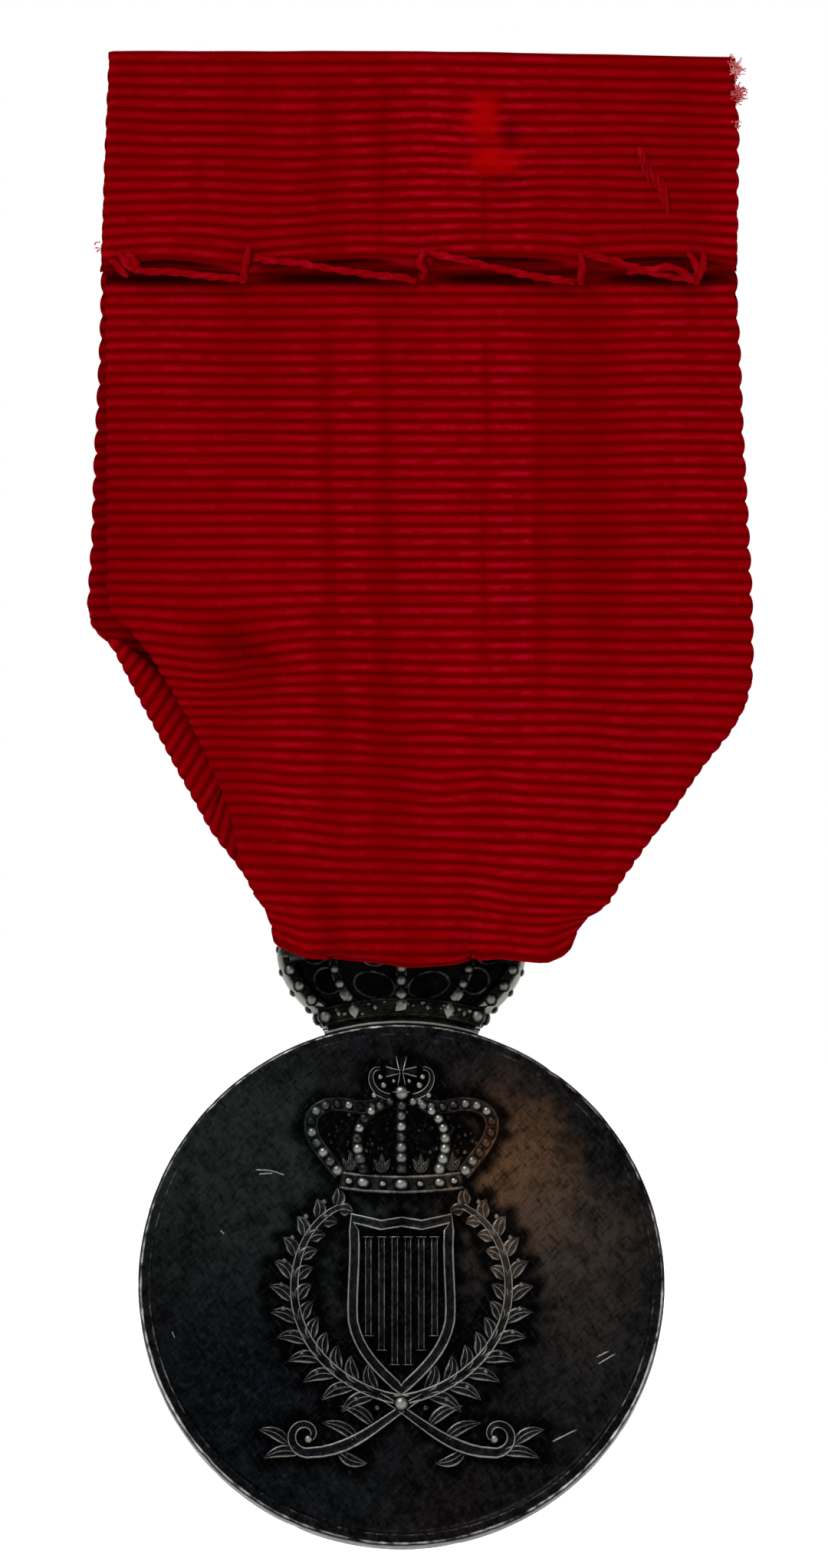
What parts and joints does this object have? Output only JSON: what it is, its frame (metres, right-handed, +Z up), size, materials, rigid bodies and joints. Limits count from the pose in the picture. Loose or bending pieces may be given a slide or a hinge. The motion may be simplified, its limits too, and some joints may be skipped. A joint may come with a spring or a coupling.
{
  "type": "military service medal",
  "caption": "Round struck silver disc under a cast crown, hanging from a bar in a doubled crimson ribbon with a stitched pocket for a brooch pin.",
  "frame": {"origin": "middle of the pin line, inside the ribbon's top fold and 2 mm under its top", "axes": "+Z up along the ribbon, +X to the right as the reverse is seen, -Y out of the reverse, which lies against the wearer"},
  "size_m": [0.0392, 0.0081, 0.0883],
  "materials": {
    "ribbon": "satin",
    "thread": "satin",
    "wire": "satin",
    "disc": "satin",
    "crown": "satin"
  },
  "bodies": {
    "ribbon": {"ribbon": "ribbon", "hem_stitches": "thread"},
    "bar": {"suspension_bar": "wire"},
    "medal": {"medal_disc": "disc", "crown_foot": "crown", "crown_band": "crown", "crown_cap": "crown", "crown_arches": "crown", "crown_orb": "crown", "crown_cross": "crown", "left_lug": "wire", "right_lug": "wire"}
  },
  "joints": [
    {"name": "bar_slide", "type": "slide", "parent": "ribbon", "child": "bar", "axis": [1, 0, 0], "range_m": [-0.0004, 0.0004]},
    {"name": "medal_swing", "type": "hinge", "parent": "bar", "child": "medal", "pos_m": [-0.0011, 0, -0.0507], "axis": [-1, 0, 0], "range_deg": [-9, 100]}
  ]
}
